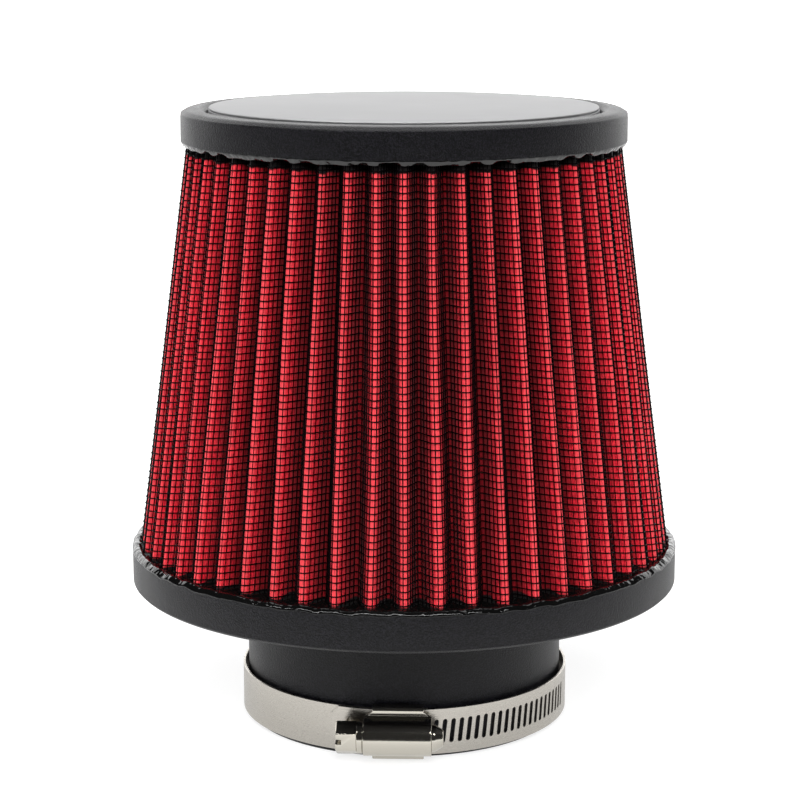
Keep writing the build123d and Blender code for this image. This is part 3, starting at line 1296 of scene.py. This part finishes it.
def makeHead():
    corner = screw["headFlats"] / math.sqrt(3)
    points = []
    edge = screw["headEdge"]
    sections = [(collarStart, 1.0), (collarStart - screw["headLength"] + edge, 1.0),
                (collarStart - screw["headLength"], 1 - edge / corner)]
    sides = 6
    for along, scale in sections:
        reach = corner * scale * mm
        for side in range(sides):
            turn = 2 * math.pi / sides * side + math.pi / 2
            point = Vector((along * mm, reach * math.cos(turn), reach * math.sin(turn)))
            points.append(point + screwPlace)
    head = addPiece("screwHead", points, tubeFaces(len(sections), sides), smooth=False)
    facesOutward(head)
    groove = addPiece("driverGroove", [], [])
    box = bmesh.new()
    bmesh.ops.create_cube(box, size=1)
    size = (2 * screw["driverDepth"] * mm, 3 * corner * mm, screw["driverWidth"] * mm)
    bmesh.ops.scale(box, vec=size, verts=box.verts)
    end = Vector(((collarStart - screw["headLength"]) * mm, 0, 0)) + screwPlace
    bmesh.ops.translate(box, vec=end, verts=box.verts)
    box.to_mesh(groove.data)
    box.free()
    cut = head.modifiers.new("groove", "BOOLEAN")
    cut.operation = "DIFFERENCE"
    cut.object = groove
    softenEdges(head, screw["headBevel"], segments=2, degrees=25)
    applyModifiers(head)
    bpy.data.objects.remove(groove)
    return head


def makeScrew():
    shaft = spinAlongX("wormScrew", roundCorners([
        (0, collarStart, 0),
        (screw["collar"], collarStart, 0.25),
        (screw["collar"], collarStart + screw["collarLength"], 0.25),
        (screw["core"], collarStart + screw["collarLength"], 0),
        (screw["core"], housingEnd + screw["tipStart"][0], 0),
        (screw["tip"], housingEnd + screw["tipStart"][1], 0.2),
        (screw["tip"], housingEnd + screw["tipStraight"], 0.4),
        (screw["tipEnd"], housingEnd + screw["tipLength"], 0.5),
        (0, housingEnd + screw["tipLength"], 0),
    ], 4))
    thread = addPiece("wormThread", [], [])
    root = screw["core"] - screw["ridgeSunk"]
    depth = screw["thread"] - root
    runTree(thread, threadTree(), {
        "Turns": housing["length"] / screw["pitch"] - screw["turnsShort"],
        "Root Radius": (root + depth / 2) * mm,
        "Length": (housing["length"] - screw["pitch"]) * mm,
        "Root Width": screw["ridge"] * mm,
        "Depth": depth * mm,
        "Material": polishedSteel,
    })
    start = Vector((screw["pitch"] / 2 - housingEnd, 0, 0)) * mm
    thread.data.transform(Matrix.Rotation(math.pi / 2, 4, "Y"))
    thread.data.transform(Matrix.Translation(screwPlace + start))
    head = makeHead()
    whole = bmesh.new()
    for part in (shaft, thread, head):
        whole.from_mesh(part.data)
    whole.to_mesh(shaft.data)
    whole.free()
    for part in (thread, head):
        bpy.data.objects.remove(part)
    facesOutward(shaft)
    sharpFrom(shaft, 30)
    shaft.data.materials.clear()
    settle(shaft, polishedSteel, "screw", "polished_steel", "worm_screw")


makeScrew()
print("screw made")

# Floor and backdrop


def paperMaterial():
    grey = (*[studio["paperGrey"]] * 3, 1)
    white = (1, 1, 1, 1)
    material, tree, shader = newMaterial("whitePaper", Base_Color=grey, Roughness=0.9, Emission_Color=white)
    rays = addNode(tree, "ShaderNodeLightPath").outputs
    where = objectVector(tree)
    reach = addNode(tree, "ShaderNodeVectorMath", {0: where}, operation="LENGTH").outputs["Value"]
    depth = addNode(tree, "ShaderNodeSeparateXYZ", {"Vector": where}).outputs["Y"]
    # painted shadow: the shine dimmed beside the neck, as shiny pieces see it
    shine = remap(tree, reach, *studio["shineSpan"], studio["shineShadowNear"], studio["paperShine"])
    # painted shade: the shine dimmed at the sides of the sheet, except behind the filter
    behind = remap(tree, depth, *studio["behindSpan"])
    beside = remap(tree, reach, *studio["sideSpan"], 1.0, studio["shineShadeSide"])
    shine = math2(tree, "MULTIPLY", shine, math2(tree, "MAXIMUM", behind, beside))
    shine = math2(tree, "MULTIPLY", rays["Is Glossy Ray"], shine)
    glow = math2(tree, "MAXIMUM", shine, studio["paperGlow"])
    # painted shade: the camera's white dimmed beside the neck, under the lamps' real shadow
    paper = remap(tree, reach, *studio["whiteSpan"], studio["paperShadeNear"], 1.0)
    seen = math2(tree, "MULTIPLY", rays["Is Camera Ray"], paper)
    feed(tree, shader, {"Emission Strength": math2(tree, "MAXIMUM", seen, glow)})
    return material


def makeSheet(name, near, far, material):
    # a sheet between two straight edges: distance behind the filter, level
    points = [(side * studio["floorHalf"], *edge) for edge in (near, far) for side in (-1, 1)]
    sheet = addPiece(name, points, [(0, 1, 3, 2)], smooth=False)
    sheet.data.materials.append(material)


def makeFloor():
    fold = (studio["floorBack"], 0)
    makeSheet("floor", (studio["floorFront"], 0), fold, paperMaterial())
    bright = newMaterial("brightPaper", Emission_Color=(1, 1, 1, 1), Emission_Strength=studio["wallGlow"])[0]
    makeSheet("backdrop", fold, (studio["floorBack"], studio["wallHeight"]), bright)


makeFloor()
